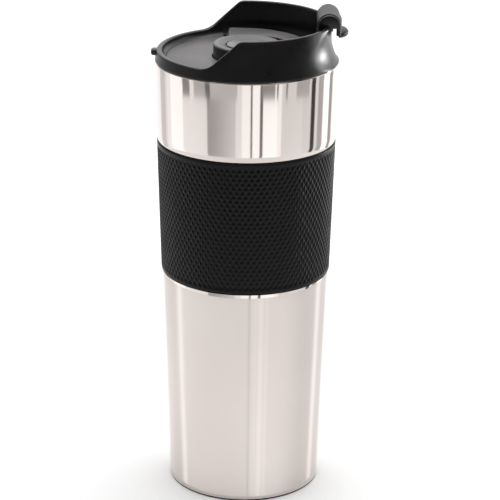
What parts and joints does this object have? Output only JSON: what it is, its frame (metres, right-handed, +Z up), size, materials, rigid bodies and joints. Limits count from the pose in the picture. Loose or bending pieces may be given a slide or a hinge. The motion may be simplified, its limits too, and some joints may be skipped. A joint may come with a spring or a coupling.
{
  "type": "insulated travel mug",
  "caption": "Tapered double-walled steel travel mug with a knurled rubber grip band, a lid with a high rear wall, a hinged flap and a central plunger knob.",
  "frame": {"origin": "centre of the foot's flat underside, on the mug's axis", "axes": "+Z up along the mug's axis, -X towards the drinking side, +X towards the flap's hinge"},
  "size_m": [0.0855, 0.0802, 0.2186],
  "materials": {
    "polished_steel": "mirror-polished stainless steel with faint vertical haze",
    "inner_steel": "satin stainless steel",
    "small_steel": "bright stainless steel",
    "mesh_steel": "fine woven steel mesh",
    "grip_rubber": "matte black rubber with a raised diamond grid",
    "foot_rubber": "matte black rubber",
    "clear_silicone": "translucent off-white silicone",
    "collar_plastic": "satin black moulded plastic",
    "lid_plastic": "matte black moulded plastic",
    "flap_plastic": "satin black moulded plastic with a fine texture",
    "knob_plastic": "satin black moulded plastic",
    "cap_plastic": "satin black moulded plastic"
  },
  "bodies": {
    "vessel": {"outer_shell": "polished_steel", "inner_liner": "inner_steel", "base_cap": "inner_steel", "foot_pad": "foot_rubber", "getter_capsule": "small_steel", "grip_sleeve": "grip_rubber"},
    "lid_seal": {"lid_gasket": "clear_silicone"},
    "lid": {"lid_collar": "collar_plastic", "lid_plug": "lid_plastic", "hinge_pin": "small_steel", "rod_seal": "clear_silicone"},
    "flap": {"drink_flap": "flap_plastic", "flap_stopper": "clear_silicone"},
    "plunger": {"plunger_knob": "knob_plastic", "knob_cap": "cap_plastic", "plunger_rod": "inner_steel", "filter_top_plate": "inner_steel", "filter_spring": "small_steel", "filter_mesh": "mesh_steel", "filter_cross_plate": "inner_steel", "filter_nut": "small_steel"}
  },
  "joints": [
    {"name": "lid_lift", "type": "slide", "parent": "vessel", "child": "lid_seal", "axis": [0, 0, 1], "range_m": [0, 0.2]},
    {"name": "lid_turn", "type": "hinge", "parent": "lid_seal", "child": "lid", "pos_m": [0, 0, 0.19], "axis": [0, 0, 1], "continuous": true},
    {"name": "flap_hinge", "type": "hinge", "parent": "lid", "child": "flap", "pos_m": [0.0352, 0, 0.2135], "axis": [0, 1, 0], "range_deg": [0, 18]},
    {"name": "plunger_lift", "type": "slide", "parent": "lid", "child": "plunger", "axis": [0, 0, 1], "range_m": [0, 0.145]}
  ]
}
